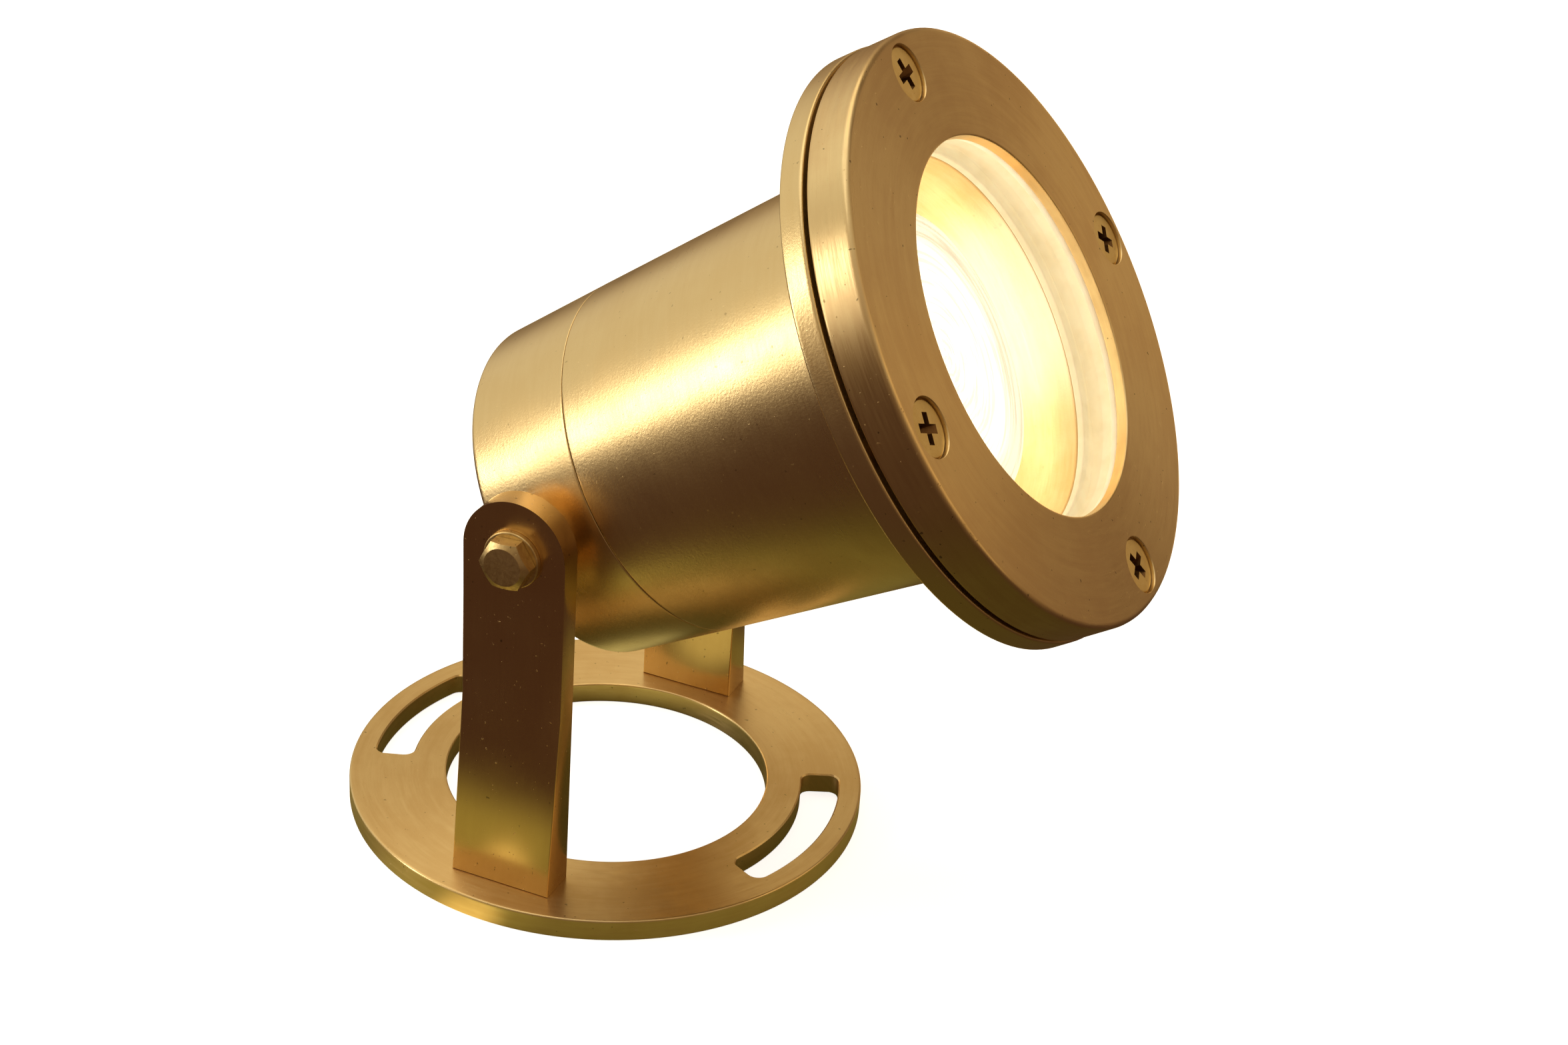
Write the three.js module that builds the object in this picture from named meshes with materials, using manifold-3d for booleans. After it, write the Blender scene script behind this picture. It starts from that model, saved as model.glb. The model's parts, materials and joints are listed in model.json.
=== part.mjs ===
// Underwater pond light: a solid brass lamp head that tilts between two upright arms on a slotted ring.
// A 50 mm reflector lamp sits behind a thick flat lens. Millimetres, +Z up, and the lamp shines towards +X.
// The ring stands on Z = 0, and the origin is under the middle of the bounding box at the rest tilt.
import * as THREE from "three";
import { mergeVertices } from "three/addons/utils/BufferGeometryUtils.js";
import Module from "manifold-3d";

const wasm = await Module();
wasm.setup();

// ---------- Driving dimensions, in millimetres and degrees ----------

const TILT = 32.7; // optical axis above the horizon at rest
const AXIS_HEIGHT = 64.6; // optical axis above the ground, straight below the pivot
const PIVOT_ABOVE = 1.7; // pivot axis above the optical axis, measured upright at rest
const PIVOT_HEIGHT = AXIS_HEIGHT + PIVOT_ABOVE;
const GAP = 0.3; // between pieces that touch
const LARGE = 48; // facets round a large circle, then round a medium, a small and a tiny one
const MEDIUM = 28;
const SMALL = 16;
const TINY = 12;

const ring = { outer: 47, inner: 29.5, thick: 4, slotCircle: 39.4, slotWidth: 7, slotCorner: 2 };
const slots = [{ middle: 0, half: 26 }, { middle: 180, half: 22 }]; // degrees, to the ends of each slot
const arm = {
  width: 18.5, innerY: 33.7, outerY: 38.2, footY: 41.1, flareTop: 38, abovePivot: 9.9,
  footScrewX: 4.8, footScrewY: 36.6,
};
const armScrew = {
  shank: 1.5, head: 2.9, rim: 0.3, length: 11.5, wings: 3.2, blade: 0.7, depth: 1.5, sunk: 0.3,
};

// Stations along the optical axis are measured from the pivot axis, positive towards the lens.
const rear = {
  back: -7.5, wall: 5, backRadius: 29.9, chamfer: 0.9, cavity: 23, spigot: 28.3, spigotEnd: 19.5,
};
const seam = { station: 13.8, radius: 31.4 };
const groove = { from: 14.3, to: 16.3, radius: 27.1 };
const oring = { offset: 0.75, section: 0.6 };
const barrel = {
  coneRadius: 35.1, fillet: 1.5, mouth: 31.8, throat: 28.9, inset: 0.7,
};
const flange = { back: 70.8, front: 74.9, radius: 49.7, seat: 72.9, seatRadius: 36, edge: 0.4 };
const bezel = { back: 75.6, front: 82.8, radius: 49.5, opening: 31.4, lip: 2, edge: 0.8, innerEdge: 0.3 };
const bezelScrew = {
  shank: 2.5, head: 4.4, rim: 0.3, length: 11.3, wings: 5, blade: 1.1, depth: 2.4, sunk: 0.55,
};
const screwTip = { length: 0.6, taper: 0.8 };
const screwCircle = 43.4;
const gasket = { lipRadius: 31.9, outer: 35.6, lip: 1.1, web: 1 };
const lensEdge = 0.4;

const boss = { flat: 29.2, radius: 7.2, holeEnd: 24.6 };
const spacer = { radius: 6.9 };
const washer = { radius: 5, thick: 0.5, hole: 2.7 };
const bolt = { shank: 2.5, acrossFlats: 8, headHeight: 2.8, chamfer: 0.75, tip: 25 };

const lamp = {
  rim: 25.3, front: 67, cover: 1.2, coverInset: 0.3, coverEdge: 0.6,
  baseEnd: 22.8, baseTop: 42.6, baseY: 14, baseZ: 9.5,
};
const pin = { radius: 0.75, spacing: 5.3, tip: 15 };
const socket = { front: 19.5, back: 7.4, lengthY: 26, widthZ: 10, screwY: 10.5, floor: 3.6, hole: 1.6 };
const contact = { outer: 1.5, inner: 0.9, inset: 0.3 };
const strap = { lengthY: 54, widthZ: 13, thick: 1, windowY: 14, windowZ: 7, screwY: 25.4 };
const panScrew = { shank: 1.25, head: 2.2, headHeight: 1.5, length: 5.5 };
const lead = { radius: 1, splice: 2.4, spliceLength: 9 };

const gland = {
  thread: 8, hex: 20, hexFrom: -12.8, hexTo: -9.2, neck: 7, neckEnd: -16.6,
  bore: 4.6, pocket: 5.6, pocketWall: 2.2, washer: 10.2,
};
const nut = { hex: 18, from: -20.4, to: -13.1, hole: 4.4, dome: 7.6, edge: 0.6 };
const cableBore = 3.5;

// ---------- Shapes ----------

const radians = THREE.MathUtils.degToRad;
const hexRadius = (acrossFlats) => acrossFlats / Math.sqrt(3);
const point = (x, y) => new THREE.Vector2(x, y);

// A body of revolution about X from [station, radius] pairs, which end on the axis or close on themselves.
function turned(profile, facets) {
  const clockwise = profile.reduce((sum, [s, r], i) => {
    const [nextS, nextR] = profile[(i + 1) % profile.length];
    return sum + s * nextR - nextS * r;
  }, 0);
  const ordered = clockwise > 0 ? [...profile].reverse() : [...profile];
  if (ordered[0][1] > 0) ordered.push(ordered[0]);
  const points = ordered.map(([s, r]) => point(r, s));
  return new THREE.LatheGeometry(points, facets).rotateZ(-Math.PI / 2);
}

// A rod along X between two stations.
function rod(from, to, radius, facets) {
  const profile = [[from, 0], [from, radius], [to, radius], [to, 0]];
  return turned(profile, facets);
}

// A plain ring or tube along X.
function tube(from, to, inner, outer, facets) {
  return turned([[from, inner], [from, outer], [to, outer], [to, inner]], facets);
}

// A hexagonal prism along X, with two corners up and down.
function hexPrism(from, to, acrossFlats) {
  const radius = hexRadius(acrossFlats);
  const prism = new THREE.CylinderGeometry(radius, radius, to - from, 6).rotateZ(-Math.PI / 2);
  return prism.translate((from + to) / 2, 0, 0);
}

function box(fromX, toX, lengthY, widthZ) {
  return new THREE.BoxGeometry(toX - fromX, lengthY, widthZ).translate((fromX + toX) / 2, 0, 0);
}

// The points of an arc, both ends included.
function arc(centreX, centreY, radius, fromAngle, toAngle, steps) {
  return Array.from({ length: steps + 1 }, (_, i) => {
    const angle = radians(fromAngle + ((toAngle - fromAngle) * i) / steps);
    return point(centreX + radius * Math.cos(angle), centreY + radius * Math.sin(angle));
  });
}

function circle(centreX, centreY, radius, facets) {
  return arc(centreX, centreY, radius, 0, 360, facets).slice(0, -1);
}

// ---------- Booleans ----------

function solid(geometry) {
  const bare = geometry.index ? geometry.toNonIndexed() : geometry.clone();
  bare.deleteAttribute("normal");
  bare.deleteAttribute("uv");
  const merged = mergeVertices(bare, 1e-4);
  const vertProperties = merged.getAttribute("position").array;
  const triVerts = new Uint32Array(merged.index.array);
  return new wasm.Manifold(new wasm.Mesh({ numProp: 3, vertProperties, triVerts }));
}

function geometryOf(made) {
  const mesh = made.getMesh();
  const indexed = new THREE.BufferGeometry();
  indexed.setAttribute("position", new THREE.BufferAttribute(mesh.vertProperties, 3));
  indexed.setIndex(new THREE.BufferAttribute(mesh.triVerts, 1));
  const faceted = indexed.toNonIndexed();
  faceted.computeVertexNormals();
  return faceted;
}

const cut = (body, ...tools) =>
  geometryOf(tools.reduce((left, tool) => left.subtract(solid(tool)), solid(body)));
const join = (...bodies) => geometryOf(bodies.map(solid).reduce((whole, next) => whole.add(next)));
const common = (a, b) => geometryOf(solid(a).intersect(solid(b)));

// ---------- Materials ----------

const finish = (color, roughness, metalness, extra = {}) =>
  new THREE.MeshStandardMaterial({ color, roughness, metalness, ...extra });
const brass = finish(0xb58a45, 0.35, 1);
const screwBrass = finish(0xc29a4c, 0.3, 1);
const clearGlass = finish(0xf4fbf8, 0.03, 0, { transparent: true, opacity: 0.35 });
const silicone = finish(0xf3e7cf, 0.6, 0);
const blackRubber = finish(0x1c1c1c, 0.75, 0);
const mirrorGlass = finish(0xe8dcc0, 0.1, 0.8);
const ceramic = finish(0xe9e4d8, 0.7, 0);
const steel = finish(0xb9bcc0, 0.35, 1);
const leadSleeve = finish(0xf0efe9, 0.8, 0);
const spliceNylon = finish(0xd9c9a8, 0.5, 0);

function piece(name, geometry, material) {
  const mesh = new THREE.Mesh(geometry, material);
  mesh.name = name;
  return mesh;
}

// ---------- Fasteners ----------

// A cross recess that opens towards +X at station 0.
function crossRecess({ wings, blade, depth }) {
  const cross = join(box(-depth, 1, wings, blade), box(-depth, 1, blade, wings));
  const profile = [[-depth, 0], [-depth, blade * 0.35], [0, wings / 2 + 0.01], [1, wings], [1, 0]];
  return common(cross, turned(profile, SMALL));
}

// A countersunk screw along X with the top of its head at station 0.
function countersunkScrew(size) {
  const { shank, head, rim, length } = size;
  const coneEnd = -rim - (head - shank);
  const profile = [
    [0, 0],
    [0, head],
    [-rim, head],
    [coneEnd, shank],
    [screwTip.length - length, shank],
    [-length, shank * screwTip.taper],
    [-length, 0],
  ];
  return cut(turned(profile, SMALL), crossRecess(size));
}

// The clearance hole and countersink that a countersunk screw needs, open towards +X at station 0.
function countersink({ shank, head, rim, length, sunk }, play) {
  const top = head + play;
  const hole = shank + play;
  const coneEnd = -sunk - rim - (head - shank);
  const end = -length - 3;
  return turned([[1, 0], [1, top], [-sunk - rim, top], [coneEnd, hole], [end, hole], [end, 0]], SMALL);
}

// A hexagon bolt along X: underside of the head at station 0, head towards +X.
function hexBolt(length) {
  const { shank, headHeight, chamfer, acrossFlats } = bolt;
  const radius = hexRadius(acrossFlats);
  const top = radius - chamfer * Math.sqrt(3);
  const rim = headHeight - chamfer;
  const headProfile = [[0, 0], [0, radius + 1], [rim, radius], [headHeight, top], [headHeight, 0]];
  const head = common(hexPrism(0, headHeight, acrossFlats), turned(headProfile, SMALL));
  const shankProfile = [
    [0.5, 0],
    [0.5, shank],
    [screwTip.length - length, shank],
    [-length, shank * screwTip.taper],
    [-length, 0],
  ];
  return join(head, turned(shankProfile, SMALL));
}

function panHeadScrew() {
  const { shank, head, headHeight, length } = panScrew;
  const profile = [
    [-length, 0],
    [-length, shank],
    [0, shank],
    [0, head],
    [headHeight * 0.6, head],
    [headHeight, head * 0.7],
    [headHeight, 0],
  ];
  return turned(profile, SMALL);
}

// ---------- Bracket: mounting ring, two arms and the screws that hold them ----------

const footScrewPlaces = [-1, 1].flatMap((side) => [-1, 1].map((end) => ({ side, end })));

// A curved slot on the slot circle with rounded corners, centred on the angle given.
function slotPath({ middle, half }) {
  const { slotCircle, slotWidth, slotCorner } = ring;
  const outer = slotCircle + slotWidth / 2;
  const inner = slotCircle - slotWidth / 2;
  const inset = (r) => THREE.MathUtils.radToDeg(Math.asin(slotCorner / r));
  const corner = (r, angle, from, to) => {
    const x = r * Math.cos(radians(angle));
    const y = r * Math.sin(radians(angle));
    return arc(x, y, slotCorner, from, to, 4);
  };
  const outerInset = inset(outer - slotCorner);
  const innerInset = inset(inner + slotCorner);
  const [from, to] = [middle - half, middle + half];
  return new THREE.Path([
    ...arc(0, 0, outer, from + outerInset, to - outerInset, 8).slice(1, -1),
    ...corner(outer - slotCorner, to - outerInset, to - outerInset, to + 90),
    ...corner(inner + slotCorner, to - innerInset, to + 90, to - innerInset + 180),
    ...arc(0, 0, inner, to - innerInset, from + innerInset, 8).slice(1, -1),
    ...corner(inner + slotCorner, from + innerInset, from + innerInset + 180, from + 270),
    ...corner(outer - slotCorner, from + outerInset, from - 90, from + outerInset),
  ]);
}

function mountingRing() {
  const shape = new THREE.Shape(circle(0, 0, ring.outer, LARGE));
  shape.holes.push(new THREE.Path(circle(0, 0, ring.inner, LARGE)), ...slots.map(slotPath));
  const plate = new THREE.ExtrudeGeometry(shape, { depth: ring.thick, bevelEnabled: false });
  const holes = footScrewPlaces.map(({ side, end }) => {
    const tool = countersink(armScrew, GAP).rotateY(Math.PI / 2);
    return tool.translate(end * arm.footScrewX, side * arm.footScrewY, 0);
  });
  return piece("mounting_ring", cut(plate, ...holes), brass);
}

// One upright: a flat bar with a round top, a foot that swells outwards, a pivot hole and two blind holes.
function uprightArm(name, side) {
  const half = arm.width / 2;
  const foot = ring.thick + GAP;
  const crownCentre = PIVOT_HEIGHT + arm.abovePivot - half;
  const outline = [point(-half, foot), point(half, foot), ...arc(0, crownCentre, half, 0, 180, 12)];
  const front = new THREE.Shape(outline);
  front.holes.push(new THREE.Path(circle(0, PIVOT_HEIGHT, bolt.shank + GAP, SMALL)));
  const bar = new THREE.ExtrudeGeometry(front, { depth: arm.footY, bevelEnabled: false });
  bar.rotateX(Math.PI / 2).translate(0, arm.footY, 0);
  const above = PIVOT_HEIGHT + 2 * arm.abovePivot;
  const section = new THREE.Shape([
    point(arm.innerY, 0),
    point(arm.footY, 0),
    point(arm.footY, foot),
    point(arm.outerY, arm.flareTop),
    point(arm.outerY, above),
    point(arm.innerY, above),
  ]);
  const blank = new THREE.ExtrudeGeometry(section, { depth: 2 * arm.width, bevelEnabled: false });
  blank.rotateX(Math.PI / 2).rotateZ(Math.PI / 2).translate(-arm.width, 0, 0);
  const holes = [-1, 1].map((end) => {
    const drill = rod(-armScrew.length - 1, 0, armScrew.shank + GAP, SMALL);
    return drill.rotateY(Math.PI / 2).translate(end * arm.footScrewX, arm.footScrewY, 0);
  });
  const left = cut(common(bar, blank), ...holes);
  return piece(name, side > 0 ? left : left.rotateZ(Math.PI), brass);
}

function bracket() {
  const group = new THREE.Group();
  group.add(mountingRing(), uprightArm("right_arm", -1), uprightArm("left_arm", 1));
  for (const { side, end } of footScrewPlaces) {
    const name = `arm_screw_${side < 0 ? "right" : "left"}_${end < 0 ? "rear" : "front"}`;
    const screw = piece(name, countersunkScrew(armScrew), screwBrass);
    screw.position.set(end * arm.footScrewX, side * arm.footScrewY, armScrew.sunk);
    screw.rotation.y = Math.PI / 2;
    group.add(screw);
  }
  return group;
}

// ---------- Head: housings, lens and bezel ----------

const pivotPlace = [PIVOT_ABOVE * Math.sin(radians(TILT)), 0, PIVOT_ABOVE * Math.cos(radians(TILT))];

const screwPlaces = [
  { name: "top", angle: 0, turn: 8 },
  { name: "left", angle: 90, turn: 51 },
  { name: "bottom", angle: 180, turn: 26 },
  { name: "right", angle: 270, turn: -24 },
];
const place = (angle) => [screwCircle * Math.sin(radians(angle)), screwCircle * Math.cos(radians(angle))];

// The front barrel: a gently flaring cone from the seam, and the flange round the lens.
function lampHousing() {
  const { station, radius } = seam;
  const profile = [
    [station, rear.spigot + GAP],
    [station, radius],
    [flange.back - barrel.fillet, barrel.coneRadius],
    [flange.back, barrel.coneRadius + barrel.fillet],
    [flange.back, flange.radius - flange.edge],
    [flange.back + flange.edge, flange.radius],
    [flange.front - flange.edge, flange.radius],
    [flange.front, flange.radius - flange.edge],
    [flange.front, flange.seatRadius],
    [flange.seat, flange.seatRadius],
    [flange.seat, barrel.mouth],
    [rear.spigotEnd + barrel.inset, barrel.throat],
    [rear.spigotEnd + barrel.inset, rear.spigot + GAP],
  ];
  const holes = screwPlaces.map(({ angle }) =>
    rod(flange.back - 5, flange.front + 5, bezelScrew.shank + GAP, SMALL).translate(0, ...place(angle)),
  );
  return piece("lamp_housing", cut(turned(profile, LARGE), ...holes), brass);
}

// The rear can: a closed end with the gland hole, an O-ring groove on the spigot, a drilled flat each side.
function rearHousing() {
  const shoulder = seam.station - GAP;
  const profile = [
    [rear.back, gland.thread + GAP],
    [rear.back, rear.backRadius - rear.chamfer],
    [rear.back + rear.chamfer, rear.backRadius],
    [shoulder, seam.radius],
    [shoulder, rear.spigot],
    [groove.from, rear.spigot],
    [groove.from, groove.radius],
    [groove.to, groove.radius],
    [groove.to, rear.spigot],
    [rear.spigotEnd, rear.spigot],
    [rear.spigotEnd, rear.cavity],
    [rear.back + rear.wall, rear.cavity],
    [rear.back + rear.wall, gland.thread + GAP],
  ];
  const sideTools = [-1, 1].flatMap((side) => [
    rod(boss.flat, boss.flat + 5, boss.radius, MEDIUM).rotateZ((side * Math.PI) / 2),
    rod(boss.holeEnd, boss.flat + 1, bolt.shank + GAP, SMALL).rotateZ((side * Math.PI) / 2),
  ]).map((tool) => tool.translate(...pivotPlace));
  const strapHoles = [-1, 1].map((side) => {
    const drill = rod(rear.spigotEnd - panScrew.length, rear.spigotEnd + 1, panScrew.shank + GAP, SMALL);
    return drill.translate(0, side * strap.screwY, 0);
  });
  return piece("rear_housing", cut(turned(profile, LARGE), ...sideTools, ...strapHoles), brass);
}

function housingOring() {
  const middle = (groove.from + groove.to) / 2;
  const section = circle(middle, groove.radius + oring.offset, oring.section, 6).map(({ x, y }) => [x, y]);
  return piece("housing_oring", turned(section, LARGE), blackRubber);
}

function bezelRing() {
  const lipBack = bezel.front - bezel.lip;
  const profile = [
    [bezel.back, flange.seatRadius],
    [bezel.back, bezel.radius - flange.edge],
    [bezel.back + flange.edge, bezel.radius],
    [bezel.front - bezel.edge, bezel.radius],
    [bezel.front, bezel.radius - bezel.edge],
    [bezel.front, bezel.opening + bezel.innerEdge],
    [bezel.front - bezel.innerEdge, bezel.opening],
    [lipBack, bezel.opening],
    [lipBack, flange.seatRadius],
  ];
  const holes = screwPlaces.map(({ angle }) =>
    countersink(bezelScrew, GAP).translate(bezel.front, ...place(angle)),
  );
  return piece("bezel", cut(turned(profile, LARGE), ...holes), brass);
}

function lensAndGasket() {
  const back = flange.seat + GAP;
  const front = bezel.front - bezel.lip - GAP;
  const { lipRadius, outer, lip, web } = gasket;
  const channel = outer - web;
  const gasketProfile = [
    [back, lipRadius],
    [back, outer],
    [front, outer],
    [front, lipRadius],
    [front - lip, lipRadius],
    [front - lip, channel],
    [back + lip, channel],
    [back + lip, lipRadius],
  ];
  const lensBack = back + lip + GAP;
  const lensFront = front - lip - GAP;
  const lensRadius = channel - GAP;
  const lensProfile = [
    [lensBack, 0],
    [lensBack, lensRadius - lensEdge],
    [lensBack + lensEdge, lensRadius],
    [lensFront - lensEdge, lensRadius],
    [lensFront, lensRadius - lensEdge],
    [lensFront, 0],
  ];
  return [
    piece("lens_gasket", turned(gasketProfile, LARGE), silicone),
    piece("lens_glass", turned(lensProfile, LARGE), clearGlass),
  ];
}

function bezelScrews() {
  return screwPlaces.map(({ name, angle, turn }) => {
    const screw = piece(`bezel_screw_${name}`, countersunkScrew(bezelScrew), screwBrass);
    screw.position.set(bezel.front - bezelScrew.sunk, ...place(angle));
    screw.rotation.x = radians(turn);
    return screw;
  });
}

// ---------- Head: pivot hardware, one set each side ----------

function pivotHardware(label, side) {
  const group = new THREE.Group();
  group.position.set(...pivotPlace);
  group.rotation.z = (side * Math.PI) / 2; // local +X points out through the arm
  const washerFrom = arm.outerY + GAP;
  const headFrom = washerFrom + washer.thick + GAP;
  const boltMesh = piece(`pivot_bolt_${label}`, hexBolt(headFrom - bolt.tip), screwBrass);
  boltMesh.position.x = headFrom;
  const disc = tube(washerFrom, washerFrom + washer.thick, washer.hole, washer.radius, SMALL);
  const collar = tube(boss.flat + GAP, arm.innerY - GAP, washer.hole, spacer.radius, MEDIUM);
  group.add(
    boltMesh,
    piece(`pivot_washer_${label}`, disc, screwBrass),
    piece(`pivot_spacer_${label}`, collar, brass),
  );
  return group;
}

// ---------- Head: the reflector lamp, its socket and wiring ----------

function reflectorLamp() {
  const coverBack = lamp.front - lamp.cover;
  const rimFront = coverBack - GAP;
  const neckBack = lamp.baseTop + GAP;
  const bowlOutside = [[neckBack, 9], [45.6, 11.6], [49.1, 15.9], [53.6, 20], [58.6, 23], [63.2, 24.6]];
  const bowlInside = [[rimFront, 23.7], [62.6, 23.1], [57.6, 20.9], [52.1, 16.9], [47.6, 12], [44.4, 5.2]];
  const shell = [[neckBack, 5.2], ...bowlOutside, [63.6, lamp.rim], [rimFront, lamp.rim], ...bowlInside];
  const capsule = [[neckBack, 0], [neckBack, 4.2], [53.1, 4.3], [56.4, 3.6], [58.4, 1.9], [59, 0]];
  const base = box(lamp.baseEnd, lamp.baseTop, lamp.baseY, lamp.baseZ);
  const coverRadius = lamp.rim - lamp.coverInset;
  const cover = [
    [coverBack, 0],
    [coverBack, coverRadius],
    [lamp.front - lensEdge, coverRadius],
    [lamp.front, coverRadius - lamp.coverEdge],
    [lamp.front, 0],
  ];
  const pins = ["right", "left"].map((label, i) => {
    const mesh = piece(`lamp_pin_${label}`, rod(pin.tip, lamp.baseEnd - GAP, pin.radius, TINY), steel);
    mesh.position.y = (i - 0.5) * pin.spacing;
    return mesh;
  });
  return [
    piece("lamp_reflector", turned(shell, MEDIUM), mirrorGlass),
    piece("lamp_cover_glass", turned(cover, MEDIUM), clearGlass),
    piece("lamp_capsule", turned(capsule, SMALL), clearGlass),
    piece("lamp_base", base, ceramic),
    ...pins,
  ];
}

function lampSocket() {
  const holeEnd = socket.back + socket.floor;
  const tools = [-1, 1].flatMap((side) => {
    const pinHole = rod(holeEnd, socket.front + 1, socket.hole, TINY);
    const leadHole = rod(socket.back - 1, holeEnd + 1, lead.radius + GAP, TINY);
    const screwHole = rod(socket.front - panScrew.length, socket.front + 1, panScrew.shank + GAP, SMALL);
    return [
      pinHole.translate(0, (side * pin.spacing) / 2, 0),
      leadHole.translate(0, (side * pin.spacing) / 2, 0),
      screwHole.translate(0, side * socket.screwY, 0),
    ];
  });
  const body = cut(box(socket.back, socket.front, socket.lengthY, socket.widthZ), ...tools);
  const contacts = ["right", "left"].map((label, i) => {
    const { inner, outer, inset } = contact;
    const sleeve = tube(holeEnd + inset, socket.front - inset, inner, outer, TINY);
    const clip = piece(`socket_contact_${label}`, sleeve, steel);
    clip.position.y = (i - 0.5) * pin.spacing;
    return clip;
  });
  return [piece("lamp_socket", body, ceramic), ...contacts];
}

// The strap across the spigot that carries the socket, with two screws at its ends and two in the socket.
function socketStrap() {
  const from = rear.spigotEnd + GAP;
  const to = from + strap.thick;
  const hole = (y) => rod(from - 1, to + 1, panScrew.shank + GAP, SMALL).translate(0, y, 0);
  const window = box(from - 1, to + 1, strap.windowY, strap.windowZ);
  const holes = [-1, 1].flatMap((side) => [hole(side * strap.screwY), hole(side * socket.screwY)]);
  const plate = cut(box(from, to, strap.lengthY, strap.widthZ), window, ...holes);
  const screws = [
    ["strap_screw_right", -strap.screwY],
    ["strap_screw_left", strap.screwY],
    ["socket_screw_right", -socket.screwY],
    ["socket_screw_left", socket.screwY],
  ].map(([name, y]) => {
    const screw = piece(name, panHeadScrew(), steel);
    screw.position.set(to + GAP, y, 0);
    return screw;
  });
  return [piece("socket_strap", plate, steel), ...screws];
}

// One lead from the socket's contact to the crimped splice where the supply cable joins it.
function leadAndSplice(label, side) {
  const y = (side * pin.spacing) / 2;
  const route = [
    [socket.back + 3.4, y, 0],
    [socket.back - 0.6, y, 0],
    [4, side * 3.4, side * 1.2],
    [2.4, side * 5.2, side * 4],
    [1.8, side * 6, side * 7.5],
  ].map((p) => new THREE.Vector3(...p));
  const section = new THREE.Shape(circle(0, 0, lead.radius, 8));
  const extrudePath = new THREE.CatmullRomCurve3(route);
  const sleeve = new THREE.ExtrudeGeometry(section, { steps: 10, extrudePath, bevelEnabled: false });
  const splice = piece(`lead_splice_${label}`, rod(0, lead.spliceLength, lead.splice, SMALL), spliceNylon);
  splice.position.set(1.8, side * 6, side * 8);
  splice.rotation.y = (-side * Math.PI) / 2; // lies along Z, away from the axis
  return [piece(`socket_lead_${label}`, sleeve, leadSleeve), splice];
}

// ---------- Head: cable gland in the closed end ----------

function cableGland() {
  const threadTo = rear.back + rear.wall - 0.5;
  const { thread, hex, hexFrom, hexTo, neck, neckEnd, bore, pocket } = gland;
  const pocketFrom = hexFrom + gland.pocketWall;
  const spindle = join(
    rod(hexTo - 0.5, threadTo, thread, MEDIUM),
    hexPrism(hexFrom, hexTo, hex),
    rod(neckEnd, hexFrom + 0.5, neck, MEDIUM),
  );
  const drilledProfile = [
    [neckEnd - 1, 0],
    [neckEnd - 1, pocket],
    [pocketFrom, pocket],
    [pocketFrom, bore],
    [threadTo + 1, bore],
    [threadTo + 1, 0],
  ];
  const body = cut(spindle, turned(drilledProfile, SMALL));

  const corner = hexRadius(nut.hex);
  const coneFrom = neckEnd - 0.4;
  const coneTo = nut.from + 1.4;
  const domeProfile = [
    [nut.from, 0],
    [nut.from, nut.dome],
    [nut.from + 1.6, nut.dome + 1.6],
    [nut.from + 3, corner],
    [nut.to - nut.edge, corner],
    [nut.to, corner - nut.edge],
    [nut.to, 0],
  ];
  const hollowProfile = [
    [nut.to + 1, 0],
    [nut.to + 1, neck + GAP],
    [coneFrom, neck + GAP],
    [coneTo, nut.hole],
    [nut.from - 1, nut.hole],
    [nut.from - 1, 0],
  ];
  const domed = common(hexPrism(nut.from, nut.to, nut.hex), turned(domeProfile, MEDIUM));
  const cap = cut(domed, turned(hollowProfile, MEDIUM));

  const sealProfile = [
    [pocketFrom - GAP, cableBore],
    [pocketFrom - GAP, pocket - GAP],
    [neckEnd, pocket - GAP],
    [coneTo + GAP, nut.hole - GAP],
    [coneTo + GAP, cableBore],
  ];
  const flatWasher = tube(hexTo + GAP, rear.back - GAP, thread + GAP, gland.washer, MEDIUM);
  return [
    piece("gland_body", body, screwBrass),
    piece("gland_nut", cap, screwBrass),
    piece("gland_seal", turned(sealProfile, SMALL), blackRubber),
    piece("gland_washer", flatWasher, blackRubber),
  ];
}

// ---------- Assembly ----------

function head() {
  const group = new THREE.Group();
  group.add(lampHousing(), rearHousing(), housingOring(), bezelRing());
  group.add(...lensAndGasket(), ...bezelScrews());
  group.add(pivotHardware("right", -1), pivotHardware("left", 1));
  group.add(...reflectorLamp(), ...lampSocket(), ...socketStrap());
  group.add(...leadAndSplice("right", -1), ...leadAndSplice("left", 1), ...cableGland());
  group.position.z = AXIS_HEIGHT;
  group.rotation.y = -radians(TILT);
  return group;
}

// How far the tilted bezel reaches in front of the pivot axis: either end of its lower edge's chamfer.
function frontReach() {
  const { front, radius, edge } = bezel;
  const reach = (station, r) => station * Math.cos(radians(TILT)) + r * Math.sin(radians(TILT));
  return Math.max(reach(front, radius - edge), reach(front - edge, radius));
}

const pondLight = new THREE.Group();
pondLight.add(bracket(), head());
pondLight.position.x = (ring.outer - frontReach()) / 2;

export default pondLight;
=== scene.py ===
# Underwater pond light: a turned brass head with a glowing reflector lamp, tilting in a slotted bracket.
# Every piece is built in millimetres about its own X axis, then placed in the frame's metres.
import json
import math

import bmesh
import bpy
from mathutils import Matrix, Vector


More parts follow.
